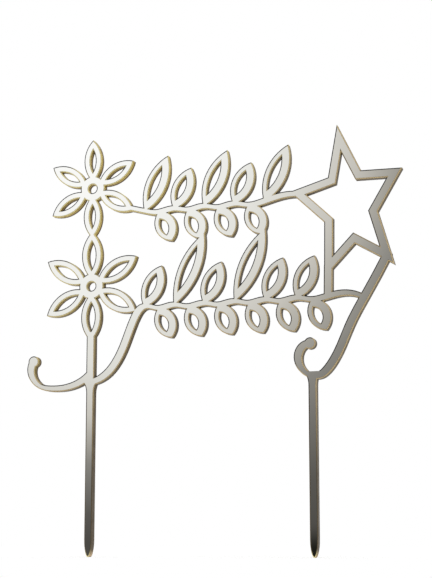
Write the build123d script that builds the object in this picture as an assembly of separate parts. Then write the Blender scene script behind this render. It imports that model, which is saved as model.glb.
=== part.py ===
from build123d import *
import math
import os

# Cake topper cut from one mirror acrylic sheet: a star, two blossoms and two leafy branches on two stakes.
# X runs across it, Z is up and the mirror front faces -Y. The origin is midway between the stakes,
# at the level of the cake's surface and in the middle of the thickness.

# Layers, front to back, the bond between each pair, and how far the heat of the cut drew the film back
film_thickness = 0.08
sheet_thickness = 2.8
coat_thickness = 0.08
bond_line = 0.02
film_margin = 0.4

# Stakes, flared at the top into the strokes above them
stake_spacing = 93.6
stake_length = 67.5
stake_width = 3.2
tip_length = 7.0
flare_drop = 1.5
flare_top = 4.1
flare_reach = 2.6

# Pen strokes: thickest along the slant, thinnest across it
slant_angle = 24.0
thick_stroke = 3.6
thin_stroke = 2.2
stroke_contrast = 1.5
ball_radius = 2.3

# Tiers: the level where strokes cross the stakes' tops, stem centre lines, how far the leaves start and
# the stems end from the stakes, and the leaf pairs
stem_foot = 3.2
lower_middle = 33.0
upper_middle = 73.0
stem_swing = 0.5
tier_lead = 17.0
lower_run_out = 13.0
upper_run_out = 8.5
lower_pairs = 7
upper_pairs = 5

# Leaves
leaf_width = 9.2
leaf_rise = 17.0
leaf_fall = 13.0
tall_leaf_rise = 23.0
tall_pairs = (1, 3)
tip_overlap = 2.5

# Blossoms at the left end of each tier: open petals about a pierced heart
petal_count = 6
lower_petal = 23.0
upper_petal = 21.0
petal_stroke = 2.6
petal_gap = 4.2
heart_radius = 5.4
heart_hole = 1.9
lower_blossom_rise = 40.0

# Star outline, placed by its left tip
star_radius = 33.3
star_squeeze = 0.72
star_tilt = 7.7
star_notch = 0.473
star_bar = 3.5
star_tip_rise = 3.4
star_grip = 5.0

# Routes of the free strokes, as steps across and up from the top of the stake that they start or end at
left_riser = [(0, 0), (8, 4), (14, 13), (18.4, 24)]
left_hook = [(-0.5, 3), (-5, 0), (-11, -1.8), (-17, -2), (-22.8, -0.6), (-26.4, 4), (-25.6, 9.5)]
right_curl = [(15, 18.5), (9, 5.8), (1, -1), (-5, 3.4), (-5.2, 9), (-0.9, 12)]

POINTS_PER_LEG = 3
lean = math.tan(math.radians(slant_angle))
slant_axis = Vector(lean, 1).normalized()
left_x = -stake_spacing / 2
right_x = stake_spacing / 2


# In the shapes below, trim is how much is taken off along every edge

def swash(points, trim):
    """Pen stroke with round ends, along a smooth line through the points."""
    line = Spline(*points)
    steps = POINTS_PER_LEG * (len(points) - 1)
    left = []
    right = []
    for i in range(steps + 1):
        along = line % (i / steps)
        weight = abs(along.dot(slant_axis)) ** stroke_contrast
        width = thin_stroke + (thick_stroke - thin_stroke) * weight - 2 * trim
        across = along.rotate(Axis.Z, 90) * (width / 2)
        left.append(line @ (i / steps) + across)
        right.append(line @ (i / steps) - across)
    start_bulge = (line % 0) * ((left[0] - right[0]).length / 2)
    end_bulge = (line % 1) * ((left[-1] - right[-1]).length / 2)
    start_cap = ThreePointArc(right[0], line @ 0 - start_bulge, left[0])
    end_cap = ThreePointArc(left[-1], line @ 1 + end_bulge, right[-1])
    return make_face(Wire([start_cap, Spline(*left), end_cap, Spline(*reversed(right))]))


def curl(points, trim):
    """Pen stroke that ends in a ball."""
    return [swash(points, trim), Pos(*points[-1]) * Circle(ball_radius - trim)]


def leaf(foot, tip, width, left_stroke, right_stroke, trim):
    """Open leaf, with the strokes to the left and right of the way from its foot to its tip."""
    chord = tip - foot
    bulge = width / 2
    radius = (chord.length**2 / 4 + bulge**2) / (2 * bulge)
    across = chord.normalized().rotate(Axis.Z, -90) * (radius - bulge)
    left_arc = Pos((foot + tip) * 0.5 + across)
    right_arc = Pos((foot + tip) * 0.5 - across)
    outer = left_arc * Circle(radius - trim) & right_arc * Circle(radius - trim)
    left_inner = left_arc * Circle(radius - left_stroke + trim)
    right_inner = right_arc * Circle(radius - right_stroke + trim)
    return outer - (left_inner & right_inner)


def petal_way(k):
    """Direction of petal k, anticlockwise from the top one."""
    return Vector(0, 1).rotate(Axis.Z, 360 * k / petal_count)


def petal_end(centre, length, k):
    """Place in the solid end of petal k."""
    return centre + petal_way(k) * (length - tip_overlap)


def blossom(centre, length, trim):
    """Open petals, a steady gap apart, about a pierced round heart."""
    foot = heart_radius - tip_overlap
    width = (foot + length) * math.sin(math.pi / petal_count) - petal_gap
    petals = []
    for k in range(petal_count):
        start = centre + petal_way(k) * foot
        end = centre + petal_way(k) * length
        petals.append(leaf(start, end, width, petal_stroke, petal_stroke, trim))
    heart = Pos(centre) * Circle(heart_radius - trim)
    return Sketch() + petals + heart - Pos(centre) * Circle(heart_hole + trim)


def route(x, z, steps):
    """Points at the given steps from a place."""
    return [(x + across, z + up) for across, up in steps]


def tier(crests, hollows, middle, rises, lead_in, run_out, trim):
    """Waving stem with a leaf on each crest and one under each hollow."""
    stem = [(x, middle + stem_swing) for x in crests] + [(x, middle - stem_swing) for x in hollows]
    leaves = []
    for x, rise in zip(crests, rises):
        tip = Vector(x + rise * lean, middle + rise)
        leaves.append(leaf(Vector(x, middle), tip, leaf_width, thin_stroke, thick_stroke, trim))
    for x in hollows:
        tip = Vector(x + leaf_fall * lean, middle - leaf_fall)
        leaves.append(leaf(Vector(x, middle), tip, leaf_width, thick_stroke, thin_stroke, trim))
    return [swash(lead_in + sorted(stem) + run_out, trim)] + leaves


def star_corner(k):
    """Corner k of the star's outline about its centre, anticlockwise from the top tip."""
    radius = star_radius * (star_notch if k % 2 else 1)
    angle = math.radians(90 + 36 * k)
    corner = Vector(radius * star_squeeze * math.cos(angle), radius * math.sin(angle))
    return corner.rotate(Axis.Z, star_tilt)


def arm_end(k):
    """Place in the solid end of the star's arm whose tip is corner k."""
    tip = star_corner(k)
    return star_centre + tip * (1 - star_grip / tip.length)


def star_frame(trim):
    """Open star."""
    outline = make_face(Polyline(*[star_centre + star_corner(k) for k in range(10)], close=True))
    outer = offset(outline, -trim, kind=Kind.INTERSECTION) if trim else outline
    return outer - offset(outline, trim - star_bar, kind=Kind.INTERSECTION)


def stake(x, trim):
    """Flat stake with a rounded tip and a flared top."""
    half = stake_width / 2 - trim
    tip_start = tip_length - stake_length
    left_neck = (x - half, -flare_drop)
    right_neck = (x + half, -flare_drop)
    left_top = (x - half - flare_reach, flare_top)
    right_top = (x + half + flare_reach, flare_top)
    edges = [
        EllipticalCenterArc((x, tip_start), half, tip_length - trim, 180, arc_size=180),
        Line((x + half, tip_start), right_neck),
        Spline(right_neck, right_top, tangents=[(0, 1), (1, 0.5)]),
        Line(right_top, left_top),
        Spline(left_top, left_neck, tangents=[(1, -0.5), (0, -1)]),
        Line(left_neck, (x - half, tip_start)),
    ]
    return make_face(Wire(edges))


# Places of the star, the blossoms and the leaves
star_centre = Vector(right_x - upper_run_out, upper_middle + star_tip_rise) - star_corner(2)
lower_blossom = Vector(left_x, stem_foot + lower_blossom_rise)
upper_blossom = lower_blossom + Vector(0, lower_petal + upper_petal - tip_overlap)
lower_start = left_x + tier_lead
pitch = (right_x + lower_run_out - lower_start) / lower_pairs
*lower_crests, star_crest = [lower_start + pitch * (k + 0.5) for k in range(lower_pairs)]
link_rise = upper_middle - leaf_fall - lower_middle + tip_overlap
upper_shift = (link_rise - tip_overlap - leaf_fall) * lean - pitch / 2
upper_crests = [x + upper_shift for x in lower_crests[:upper_pairs]]


def star_and_tail(trim):
    """Star on its stalk, and the tail that falls from its right arm and curls under, over the right stake."""
    tail_top = arm_end(6)
    tail_curl = route(right_x, stem_foot, right_curl)
    tail_middle = (tail_top + Vector(tail_curl[0])) * 0.5
    stalk = swash([(star_crest, lower_middle + 2 * stem_swing), arm_end(4)], trim)
    return [star_frame(trim), stalk] + curl([tail_top, tail_middle, *tail_curl], trim)


def blossoms(trim):
    """Blossoms, one on the other, on a stalk over the left stake with a hook at its foot."""
    stalk = swash([(left_x, stem_foot), petal_end(lower_blossom, lower_petal, 3)], trim)
    flowers = [blossom(lower_blossom, lower_petal, trim), blossom(upper_blossom, upper_petal, trim)]
    return flowers + [stalk] + curl(route(left_x, stem_foot, left_hook), trim)


def lower_tier(trim):
    """Branch whose stem rises from the left stake, past the lower blossom, and ends in the tail."""
    hollows = [x + pitch / 2 for x in lower_crests]
    rises = [link_rise if k in tall_pairs else leaf_rise for k in range(len(lower_crests))]
    lead_in = route(left_x, stem_foot, left_riser)
    run_out = [(star_crest, lower_middle + stem_swing), (star_crest + pitch, lower_middle)]
    return tier(lower_crests, hollows, lower_middle, rises, lead_in, run_out, trim)


def upper_tier(trim):
    """Branch whose stem grows from the upper blossom and ends in the star's left arm."""
    hollows = [x + pitch / 2 for x in upper_crests[:-1]]
    rises = [leaf_rise if k in tall_pairs else tall_leaf_rise for k in range(upper_pairs)]
    lead_in = [petal_end(upper_blossom, upper_petal, 4)]
    return tier(upper_crests, hollows, upper_middle, rises, lead_in, [arm_end(2)], trim)


def cut_shape(trim):
    """Outline of a layer."""
    pieces = [stake(left_x, trim), stake(right_x, trim)]
    pieces += star_and_tail(trim) + blossoms(trim) + lower_tier(trim) + upper_tier(trim)
    return Sketch() + pieces


full_outline = cut_shape(0)
layers = {
    "mirror_film": (film_thickness, cut_shape(film_margin)),
    "acrylic_sheet": (sheet_thickness, full_outline),
    "back_coat": (coat_thickness, full_outline),
}
os.makedirs("parts", exist_ok=True)
back_y = -(film_thickness + sheet_thickness + coat_thickness) / 2 - bond_line
for name, (thickness, outline) in layers.items():
    back_y += thickness
    export_step(Pos(0, back_y, 0) * extrude(Plane.XZ * outline, thickness), f"parts/{name}.step")
    back_y += bond_line
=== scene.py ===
import math

import bpy
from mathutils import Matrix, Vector


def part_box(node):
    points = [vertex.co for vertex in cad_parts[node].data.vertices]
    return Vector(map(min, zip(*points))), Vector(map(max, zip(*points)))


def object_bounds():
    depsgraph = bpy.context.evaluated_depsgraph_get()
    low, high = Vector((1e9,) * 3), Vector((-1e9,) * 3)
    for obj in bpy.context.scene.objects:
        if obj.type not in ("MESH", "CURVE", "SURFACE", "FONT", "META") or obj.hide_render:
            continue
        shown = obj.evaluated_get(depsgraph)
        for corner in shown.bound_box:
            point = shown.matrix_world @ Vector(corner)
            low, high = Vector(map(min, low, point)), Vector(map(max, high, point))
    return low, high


# Looks of a mirror acrylic cake topper: a mirror film on acrylic with amber cut edges, and a painted
# back. The mirror shows a soft studio room: bright overhead, darker towards the horizon in front.

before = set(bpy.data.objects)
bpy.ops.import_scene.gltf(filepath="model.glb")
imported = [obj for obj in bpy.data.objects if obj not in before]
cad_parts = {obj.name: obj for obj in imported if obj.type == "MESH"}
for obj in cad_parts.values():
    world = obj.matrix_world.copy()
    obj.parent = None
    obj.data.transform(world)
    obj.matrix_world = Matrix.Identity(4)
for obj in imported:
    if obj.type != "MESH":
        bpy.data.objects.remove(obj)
cad_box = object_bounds()

WHITE = (1.0, 1.0, 1.0, 1.0)


def srgb(colour):
    """Linear colour of an sRGB one that is given as 0 to 255, by the formula of the sRGB standard."""
    shares = [value / 255 for value in colour]
    linear = [s / 12.92 if s <= 0.04045 else ((s + 0.055) / 1.055) ** 2.4 for s in shares]
    return (*linear, 1.0)


def node(tree, kind, **settings):
    """New shader node with its settings."""
    made = tree.nodes.new(kind)
    for name, value in settings.items():
        setattr(made, name, value)
    return made


def feed(tree, socket, value):
    """Links a socket to another one, or sets it to a plain value."""
    if isinstance(value, bpy.types.NodeSocket):
        tree.links.new(value, socket)
    else:
        socket.default_value = value


def maths(tree, operation, *values):
    """Result of a Math node on numbers or sockets."""
    made = node(tree, "ShaderNodeMath", operation=operation)
    for socket, value in zip(made.inputs, values):
        feed(tree, socket, value)
    return made.outputs[0]


def steps(tree, value, low, high, smooth=True):
    """0 below low, 1 above high, and a smooth or an even rise between them."""
    made = node(tree, "ShaderNodeMapRange", interpolation_type="SMOOTHSTEP" if smooth else "LINEAR")
    feed(tree, made.inputs["Value"], value)
    made.inputs["From Min"].default_value = low
    made.inputs["From Max"].default_value = high
    return made.outputs["Result"]


def ramp(tree, value, stops):
    """Colour at a value from 0 to 1, between stops of a place and an sRGB colour."""
    made = node(tree, "ShaderNodeValToRGB")
    feed(tree, made.inputs["Fac"], value)
    elements = made.color_ramp.elements
    while len(elements) < len(stops):
        elements.new(1.0)
    for element, (place, colour) in zip(elements, stops):
        element.position = place
        element.color = srgb(colour)
    return made.outputs["Color"]


def blend(tree, share, first, second, kind="MIX"):
    """Colour between two colours or colour sockets, all second where the share is 1."""
    made = node(tree, "ShaderNodeMix", data_type="RGBA", blend_type=kind)
    feed(tree, made.inputs["Factor"], share)
    feed(tree, made.inputs["A"], first)
    feed(tree, made.inputs["B"], second)
    return made.outputs["Result"]


def noise(tree, place, per_metre, octaves):
    """Noise between 0 and 1 at a place, by its features per metre and its octaves of finer detail."""
    made = node(tree, "ShaderNodeTexNoise")
    feed(tree, made.inputs["Vector"], place)
    made.inputs["Scale"].default_value = per_metre
    made.inputs["Detail"].default_value = octaves
    return made.outputs["Fac"]


def stretched(tree, place, scale):
    """The place, scaled apart along X, Y and Z."""
    made = node(tree, "ShaderNodeVectorMath", operation="MULTIPLY")
    feed(tree, made.inputs[0], place)
    made.inputs[1].default_value = scale
    return made.outputs[0]


def along(tree, place, way):
    """How far a place lies along a direction."""
    made = node(tree, "ShaderNodeVectorMath", operation="DOT_PRODUCT")
    feed(tree, made.inputs[0], place)
    made.inputs[1].default_value = way
    return made.outputs["Value"]


def bump(tree, height, depth, strength):
    """Normal of a surface raised by a height from 0 to 1, by the bumps' depth in metres and strength."""
    made = node(tree, "ShaderNodeBump")
    feed(tree, made.inputs["Height"], height)
    made.inputs["Distance"].default_value = depth
    made.inputs["Strength"].default_value = strength
    return made.outputs["Normal"]


def new_material(name):
    """Material with one Principled shader: its tree, the shader and the place on the object."""
    material = bpy.data.materials.new(name)
    material.use_nodes = True
    tree = material.node_tree
    shader = tree.nodes["Principled BSDF"]
    place = node(tree, "ShaderNodeTexCoord").outputs["Object"]
    return material, tree, shader, place


# In the values below, a NOISE is features per metre and octaves, a BUMP is depth and strength, and a
# RANGE is the low and the high end of a rise from 0 to 1.

# Cut walls are told by how little they face front or back. Those of the thin layers are burnt brown.
WALL_FACING = 0.5
BURNT_COLOUR = srgb((62, 48, 30))


def cut_walls(tree):
    """1 on the cut walls of a layer, and 0 on its front and back."""
    facing = node(tree, "ShaderNodeSeparateXYZ")
    feed(tree, facing.inputs[0], node(tree, "ShaderNodeNewGeometry").outputs["True Normal"])
    return maths(tree, "LESS_THAN", maths(tree, "ABSOLUTE", facing.outputs["Y"]), WALL_FACING)


# Acrylic: amber walls, from front to back, whose pale cream bands are painted highlights, and a narrow
# rim round the film
EDGE_STOPS = [
    (0.0, (246, 226, 156)),
    (0.1, (210, 186, 92)),
    (0.28, (152, 130, 60)),
    (0.44, (236, 212, 118)),
    (0.6, (140, 114, 56)),
    (1.0, (70, 55, 30)),
]
EDGE_ROUGHNESS = 0.3
EDGE_SHINE = 0.12
# The rim's pale cream is a painted highlight, on the lit side of each stroke
PAINTED_RIM_HIGHLIGHT = srgb((247, 233, 170))

# The acrylic is browner to the right and down, where the rim's painted highlight is dimmer
BROWNED_WALL = srgb((58, 40, 23))
DIMMER_PAINTED_HIGHLIGHT = srgb((208, 181, 140))
BROWNED_SHARE = 0.8
BROWNING_WAY = (0.6, 0.0, -0.8)
BROWNING_RANGE = (-0.085, -0.03)

# The stakes are darker, fully below the low end of their range, but for short tips with a painted glint
DARKER_STAKE_WALL = srgb((84, 70, 50))
DARKER_STAKE_RIM = srgb((104, 92, 72))
STAKE_RANGE = (-0.04, 0.01)
TIP_GLINT_LENGTH = 0.0035

# The rim gets painted shade at the upper left of each stroke, for the dark reflection of a rounded edge
PAINTED_SHADE_RIM = srgb((28, 27, 23))
RIM_SHADE_WAY = (-0.7, 0.0, 0.71)
RIM_SHADE_RANGE = (0.0, 0.55)
RIM_ROUNDING = 0.0007
RIM_SAMPLES = 8
IN_SHEET_PLANE = (1.0, 0.0, 1.0)

# The walls are sooty in patches, with fine grooves of the cut through the thickness
SOOT_COLOUR = srgb((176, 164, 116))
SOOT_NOISE = (260.0, 3.0)
SOOT_RANGE = (0.4, 0.75)
SOOT_SHARE = 0.6
SOOT_ROUGHNESS = 0.2
GROOVE_STRETCH = (1.0, 0.02, 1.0)
GROOVE_NOISE = (4200.0, 1.0)
GROOVE_BUMP = (0.00003, 0.5)


def painted_rim_shade(tree):
    """How far a rim faces up and to the left, from 0 to 1, which is where it gets painted shade."""
    rounded = node(tree, "ShaderNodeBevel", samples=RIM_SAMPLES)
    rounded.inputs["Radius"].default_value = RIM_ROUNDING
    outward = node(tree, "ShaderNodeVectorMath", operation="NORMALIZE")
    feed(tree, outward.inputs[0], stretched(tree, rounded.outputs["Normal"], IN_SHEET_PLANE))
    return steps(tree, along(tree, outward.outputs["Vector"], RIM_SHADE_WAY), *RIM_SHADE_RANGE)


def above_stakes(tree, height, colour, stake_colour, tip_glint_colour):
    """A colour that turns to another one down the stakes, and to a third, a painted glint, at their
    tips.
    """
    tip_level = cad_box[0].z
    above_tip = steps(tree, height, tip_level, tip_level + TIP_GLINT_LENGTH)
    stake = blend(tree, above_tip, tip_glint_colour, stake_colour)
    return blend(tree, steps(tree, height, *STAKE_RANGE), stake, colour)


def wall_colour(tree, depth, height, browned, soot):
    """Amber with painted highlight bands, burnt to the back, browned, darker on stakes, a painted glint
    at tips, sooty in patches.
    """
    front, back = (corner.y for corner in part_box("acrylic_sheet"))
    amber = ramp(tree, steps(tree, depth, front, back, smooth=False), EDGE_STOPS)
    wall = blend(tree, browned, amber, BROWNED_WALL)
    # On the walls, the stakes' tips get the dimmer painted highlight as a glint
    wall = above_stakes(tree, height, wall, DARKER_STAKE_WALL, DIMMER_PAINTED_HIGHLIGHT)
    sooty = maths(tree, "MULTIPLY", steps(tree, soot, *SOOT_RANGE), SOOT_SHARE)
    return blend(tree, sooty, wall, SOOT_COLOUR, "MULTIPLY")


def rim_colour(tree, height, browned):
    """Painted highlight, dimmer where browned, painted shade at the upper left, darker on stakes, glint
    at tips.
    """
    rim = blend(tree, browned, PAINTED_RIM_HIGHLIGHT, DIMMER_PAINTED_HIGHLIGHT)
    rim = blend(tree, painted_rim_shade(tree), rim, PAINTED_SHADE_RIM)
    return above_stakes(tree, height, rim, DARKER_STAKE_RIM, PAINTED_RIM_HIGHLIGHT)


def acrylic():
    """Acrylic that shows only where it was cut: the amber walls, and the rim in front of them."""
    material, tree, shader, place = new_material("acrylic")
    axes = node(tree, "ShaderNodeSeparateXYZ")
    feed(tree, axes.inputs[0], place)
    browning = steps(tree, along(tree, place, BROWNING_WAY), *BROWNING_RANGE)
    browned = maths(tree, "MULTIPLY", browning, BROWNED_SHARE)
    soot = noise(tree, place, *SOOT_NOISE)
    wall = wall_colour(tree, axes.outputs["Y"], axes.outputs["Z"], browned, soot)
    rim = rim_colour(tree, axes.outputs["Z"], browned)
    is_wall = cut_walls(tree)
    feed(tree, shader.inputs["Base Color"], blend(tree, is_wall, rim, wall))
    roughness = maths(tree, "MULTIPLY_ADD", soot, SOOT_ROUGHNESS, EDGE_ROUGHNESS)
    feed(tree, shader.inputs["Roughness"], roughness)
    shader.inputs["Specular IOR Level"].default_value = EDGE_SHINE
    grooves = noise(tree, stretched(tree, place, GROOVE_STRETCH), *GROOVE_NOISE)
    wall_grooves = maths(tree, "MULTIPLY", grooves, is_wall)
    feed(tree, shader.inputs["Normal"], bump(tree, wall_grooves, *GROOVE_BUMP))
    return material


# Mirror film: bright metal, a little dulled and hazed in patches, with the slight waves of rolled sheet
FILM_COLOUR = (0.90, 0.90, 0.885)
FILM_DULLING = 0.975
FILM_MOST_ROUGHNESS = 0.016
TONE_NOISE = (60.0, 3.0)
TONE_RANGE = (0.3, 0.8)
HAZE_NOISE = (180.0, 3.0)
WAVE_NOISE = (26.0, 0.0)
WAVE_BUMP = (0.00004, 1.0)


def mirror():
    """Metal film that mirrors the room, very slightly wavy and uneven in tone."""
    material, tree, shader, place = new_material("mirror")
    tone = steps(tree, noise(tree, place, *TONE_NOISE), *TONE_RANGE, smooth=False)
    dulled = [FILM_DULLING * value for value in FILM_COLOUR]
    film = blend(tree, tone, (*dulled, 1.0), (*FILM_COLOUR, 1.0))
    feed(tree, shader.inputs["Base Color"], blend(tree, cut_walls(tree), film, BURNT_COLOUR))
    shader.inputs["Metallic"].default_value = 1.0
    haze = noise(tree, place, *HAZE_NOISE)
    feed(tree, shader.inputs["Roughness"], maths(tree, "MULTIPLY", haze, FILM_MOST_ROUGHNESS))
    waves = noise(tree, place, *WAVE_NOISE)
    feed(tree, shader.inputs["Normal"], bump(tree, waves, *WAVE_BUMP))
    return material


# Back coat: grey protective paint with a fine orange peel, specks and a little rubbing
PAINT_STOPS = [(0.0, (150, 150, 152)), (0.55, (166, 166, 168)), (1.0, (182, 182, 183))]
PAINT_ROUGHNESS = 0.62
MOTTLE_NOISE = (90.0, 5.0)
SPECK_COLOUR = srgb((206, 206, 206))
SPECK_NOISE = (2600.0, 0.0)
SPECK_RANGE = (0.7, 0.78)
SPECK_SHARE = 0.6
RUBBED_RANGE = (0.3, 0.7)
RUBBED_POLISH = 0.14
PEEL_NOISE = (1500.0, 1.0)
PEEL_BUMP = (0.00003, 0.6)


def back_paint():
    """Grey paint with an orange-peel texture, mottled, finely specked and smoother where rubbed."""
    material, tree, shader, place = new_material("back_paint")
    mottle = noise(tree, place, *MOTTLE_NOISE)
    specks = steps(tree, noise(tree, place, *SPECK_NOISE), *SPECK_RANGE)
    specked = maths(tree, "MULTIPLY", specks, SPECK_SHARE)
    paint = blend(tree, specked, ramp(tree, mottle, PAINT_STOPS), SPECK_COLOUR)
    feed(tree, shader.inputs["Base Color"], blend(tree, cut_walls(tree), paint, BURNT_COLOUR))
    rubbed = steps(tree, mottle, *RUBBED_RANGE)
    roughness = maths(tree, "MULTIPLY_ADD", rubbed, -RUBBED_POLISH, PAINT_ROUGHNESS)
    feed(tree, shader.inputs["Roughness"], roughness)
    peel = noise(tree, place, *PEEL_NOISE)
    feed(tree, shader.inputs["Normal"], bump(tree, peel, *PEEL_BUMP))
    return material


# Room in front of the mirror, which turns white behind it. Places in it are parts of a unit direction.
# Its colour goes by height, scaled by a gain that grows to either side and is 1 at SIDE_MIDDLE.
ROOM_STOPS = [
    (0.0, (76, 74, 70)),
    (0.03, (90, 88, 84)),
    (0.06, (118, 116, 112)),
    (0.08, (136, 134, 129)),
    (0.1, (166, 163, 156)),
    (0.13, (200, 197, 190)),
    (0.18, (223, 222, 217)),
    (0.24, (238, 238, 235)),
    (0.32, (247, 247, 246)),
    (0.42, (255, 255, 254)),
]
ROOM_HIGH = 0.42
ROOM_STRENGTH = (1.1, 1.1, 1.1, 1.0)
SIDE_LEAST = 0.14
SIDE_MIDDLE = 0.309
SIDE_POWER = 1.7
GAIN_MOST = 1.4
CEILING_START = 0.3
CEILING_RISE = 2.0
BEHIND_RANGE = (-0.12, 0.02)

# Grey table below the horizon, from its near side to its far edge, and a dark oval card
TABLE_STOPS = [
    (0.0, (226, 226, 224)),
    (0.4, (206, 206, 203)),
    (0.75, (172, 171, 168)),
    (1.0, (132, 130, 126)),
]
TABLE_NEAR = -0.9
TABLE_FAR = -0.02
TABLE_SOFTNESS = 0.04
CARD_COLOUR = (0.012, 0.012, 0.009, 1.0)
CARD_ACROSS = -0.215
CARD_UP = -0.041
CARD_HALF_WIDTH = 0.07
CARD_HALF_HEIGHT = 0.05
CARD_SOFTNESS = 0.2


def room_walls(tree, across, up):
    """Room that brightens upwards, sooner to the sides than straight ahead, to a white ceiling."""
    side = maths(tree, "MAXIMUM", maths(tree, "ABSOLUTE", across), SIDE_LEAST)
    gain = maths(tree, "POWER", maths(tree, "DIVIDE", side, SIDE_MIDDLE), SIDE_POWER)
    gain = maths(tree, "MINIMUM", gain, GAIN_MOST)
    ceiling = maths(tree, "MULTIPLY", maths(tree, "SUBTRACT", up, CEILING_START), CEILING_RISE)
    height = maths(tree, "MAXIMUM", maths(tree, "MULTIPLY", up, gain), ceiling)
    share = steps(tree, height, 0.0, ROOM_HIGH, smooth=False)
    return ramp(tree, share, [(place / ROOM_HIGH, colour) for place, colour in ROOM_STOPS])


def squared_offset(tree, value, centre, radius):
    """Square of how far a value lies from a centre, in radii."""
    offset = maths(tree, "DIVIDE", maths(tree, "SUBTRACT", value, centre), radius)
    return maths(tree, "MULTIPLY", offset, offset)


def beyond_card(tree, across, up):
    """0 on the card and 1 outside it, with a soft edge between."""
    aside = squared_offset(tree, across, CARD_ACROSS, CARD_HALF_WIDTH)
    above = squared_offset(tree, up, CARD_UP, CARD_HALF_HEIGHT)
    distance = maths(tree, "SQRT", maths(tree, "ADD", aside, above))
    return steps(tree, distance, 1.0 - CARD_SOFTNESS, 1.0 + CARD_SOFTNESS)


def room_ahead(tree, across, up):
    """What the mirror shows: the room over a table, and the dark card."""
    table = ramp(tree, steps(tree, up, TABLE_NEAR, TABLE_FAR, smooth=False), TABLE_STOPS)
    over_table = steps(tree, up, TABLE_FAR - TABLE_SOFTNESS, TABLE_FAR)
    room = blend(tree, over_table, table, room_walls(tree, across, up))
    return blend(tree, beyond_card(tree, across, up), CARD_COLOUR, room)


def studio():
    """World: white behind the object and to the camera, and the room in front of the mirror."""
    world = bpy.data.worlds.new("studio")
    bpy.context.scene.world = world
    world.use_nodes = True
    tree = world.node_tree
    direction = node(tree, "ShaderNodeSeparateXYZ")
    feed(tree, direction.inputs[0], node(tree, "ShaderNodeTexCoord").outputs["Generated"])
    room = room_ahead(tree, direction.outputs["X"], direction.outputs["Z"])
    room = blend(tree, 1.0, room, ROOM_STRENGTH, "MULTIPLY")
    behind = steps(tree, direction.outputs["Y"], *BEHIND_RANGE)
    light = blend(tree, behind, room, WHITE)
    straight = node(tree, "ShaderNodeLightPath").outputs["Is Camera Ray"]
    feed(tree, tree.nodes["Background"].inputs["Color"], blend(tree, straight, light, WHITE))


# Floor: its front edge stays close to the object, so that the mirror shows the room and not the floor
FLOOR_HALF_WIDTH = 0.8
FLOOR_FRONT = -0.014
FLOOR_BACK = 1.2
FLOOR_COLOUR = (0.9, 0.9, 0.9, 1.0)
FLOOR_LIFT = 0.12


def background_rays(tree):
    """1 for the rays that should see the pale background: straight, mirrored or through glass."""
    path = node(tree, "ShaderNodeLightPath")
    mirrored = maths(tree, "MAXIMUM", path.outputs["Is Camera Ray"], path.outputs["Is Glossy Ray"])
    return maths(tree, "MAXIMUM", mirrored, path.outputs["Is Transmission Ray"])


def floor():
    """Pale floor at the stakes' tips, which stays white around the object's soft shadow."""
    level = cad_box[0].z
    corners = [
        (-FLOOR_HALF_WIDTH, FLOOR_FRONT, level),
        (FLOOR_HALF_WIDTH, FLOOR_FRONT, level),
        (FLOOR_HALF_WIDTH, FLOOR_BACK, level),
        (-FLOOR_HALF_WIDTH, FLOOR_BACK, level),
    ]
    mesh = bpy.data.meshes.new("floor")
    mesh.from_pydata(corners, [], [(0, 1, 2, 3)])
    ground = bpy.data.objects.new("floor", mesh)
    bpy.context.scene.collection.objects.link(ground)
    material, tree, shader, _ = new_material("floor")
    shader.inputs["Base Color"].default_value = FLOOR_COLOUR
    shader.inputs["Roughness"].default_value = 1.0
    shader.inputs["Specular IOR Level"].default_value = 0.0
    shader.inputs["Emission Color"].default_value = WHITE
    lift = maths(tree, "MULTIPLY", background_rays(tree), FLOOR_LIFT)
    feed(tree, shader.inputs["Emission Strength"], lift)
    mesh.materials.append(material)


# Camera: the photograph's view, with its height, focal length and drop of the picture in pixels
IMAGE_HEIGHT = 578
FOCAL_PIXELS = 1350.0
DROP_PIXELS = 52.0
SENSOR_MM = 36.0
NEAR_CLIP = 0.01
VIEW_AZIMUTH = math.radians(18.0)
VIEW_ELEVATION = math.radians(-8.5)
VIEW_DISTANCE = 0.540
VIEW_TARGET = Vector((0.007, 0.0, 0.018))


def camera():
    """Camera at the photograph's angle, from low on the right."""
    lens = bpy.data.cameras.new("camera")
    lens.sensor_fit = "VERTICAL"
    lens.sensor_height = SENSOR_MM
    lens.lens = FOCAL_PIXELS / IMAGE_HEIGHT * SENSOR_MM
    lens.shift_y = DROP_PIXELS / IMAGE_HEIGHT
    lens.clip_start = NEAR_CLIP
    eye = bpy.data.objects.new("camera", lens)
    bpy.context.scene.collection.objects.link(eye)
    level = math.cos(VIEW_ELEVATION)
    outward = Vector((
        math.sin(VIEW_AZIMUTH) * level,
        -math.cos(VIEW_AZIMUTH) * level,
        math.sin(VIEW_ELEVATION),
    ))
    eye.location = VIEW_TARGET + outward * VIEW_DISTANCE
    eye.rotation_euler = outward.to_track_quat("Z", "Y").to_euler()
    bpy.context.scene.camera = eye


def dress(name, material):
    """Gives a CAD node its material."""
    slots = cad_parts[name].material_slots
    slots[0].material = material


dress("mirror_film", mirror())
dress("acrylic_sheet", acrylic())
dress("back_coat", back_paint())
studio()
floor()
camera()
bpy.context.scene.view_settings.view_transform = "Standard"
